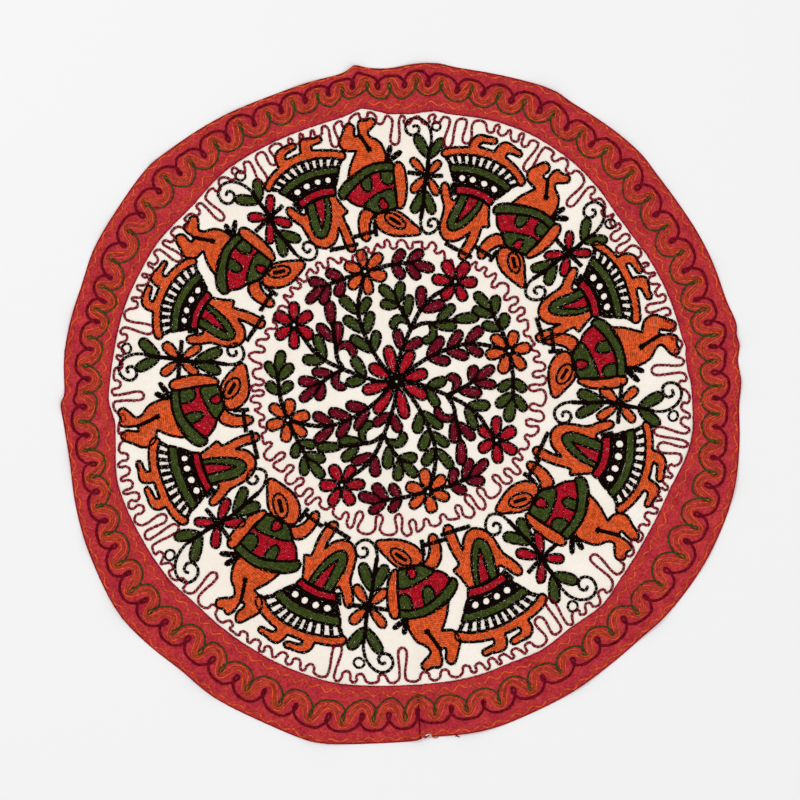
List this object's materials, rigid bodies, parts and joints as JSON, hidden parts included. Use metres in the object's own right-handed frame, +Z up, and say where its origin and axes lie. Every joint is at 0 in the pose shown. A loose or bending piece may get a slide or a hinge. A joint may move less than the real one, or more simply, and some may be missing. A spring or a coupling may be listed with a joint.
{
  "type": "round tablecloth",
  "caption": "Round cotton tablecloth lying flat: a cream centre cloth under a wide red border, with soft crossed fold marks, a rippled uneven hem and chain stitch embroidery.",
  "frame": {"origin": "middle of the round cloth, on the surface that it lies on", "axes": "+Z up out of the cloth's face, +X to the right and +Y to the far side of a person who looks down on it"},
  "size_m": [1.0208, 1.0218, 0.0073],
  "materials": {
    "cream_cotton": "plain woven cream cotton, matt",
    "red_cotton": "plain woven red cotton, matt, with a faint soft sheen",
    "black_thread": "twisted black cotton embroidery thread with a soft sheen",
    "orange_thread": "twisted warm orange cotton embroidery thread with a soft sheen",
    "red_thread": "twisted crimson red cotton embroidery thread with a soft sheen",
    "maroon_thread": "twisted dark maroon cotton embroidery thread with a soft sheen",
    "green_thread": "twisted olive green cotton embroidery thread with a soft sheen",
    "white_thread": "twisted off-white cotton embroidery thread with a soft sheen"
  },
  "bodies": {
    "root": {"centre_cloth": "cream_cotton", "border": "red_cotton"}
  },
  "joints": []
}
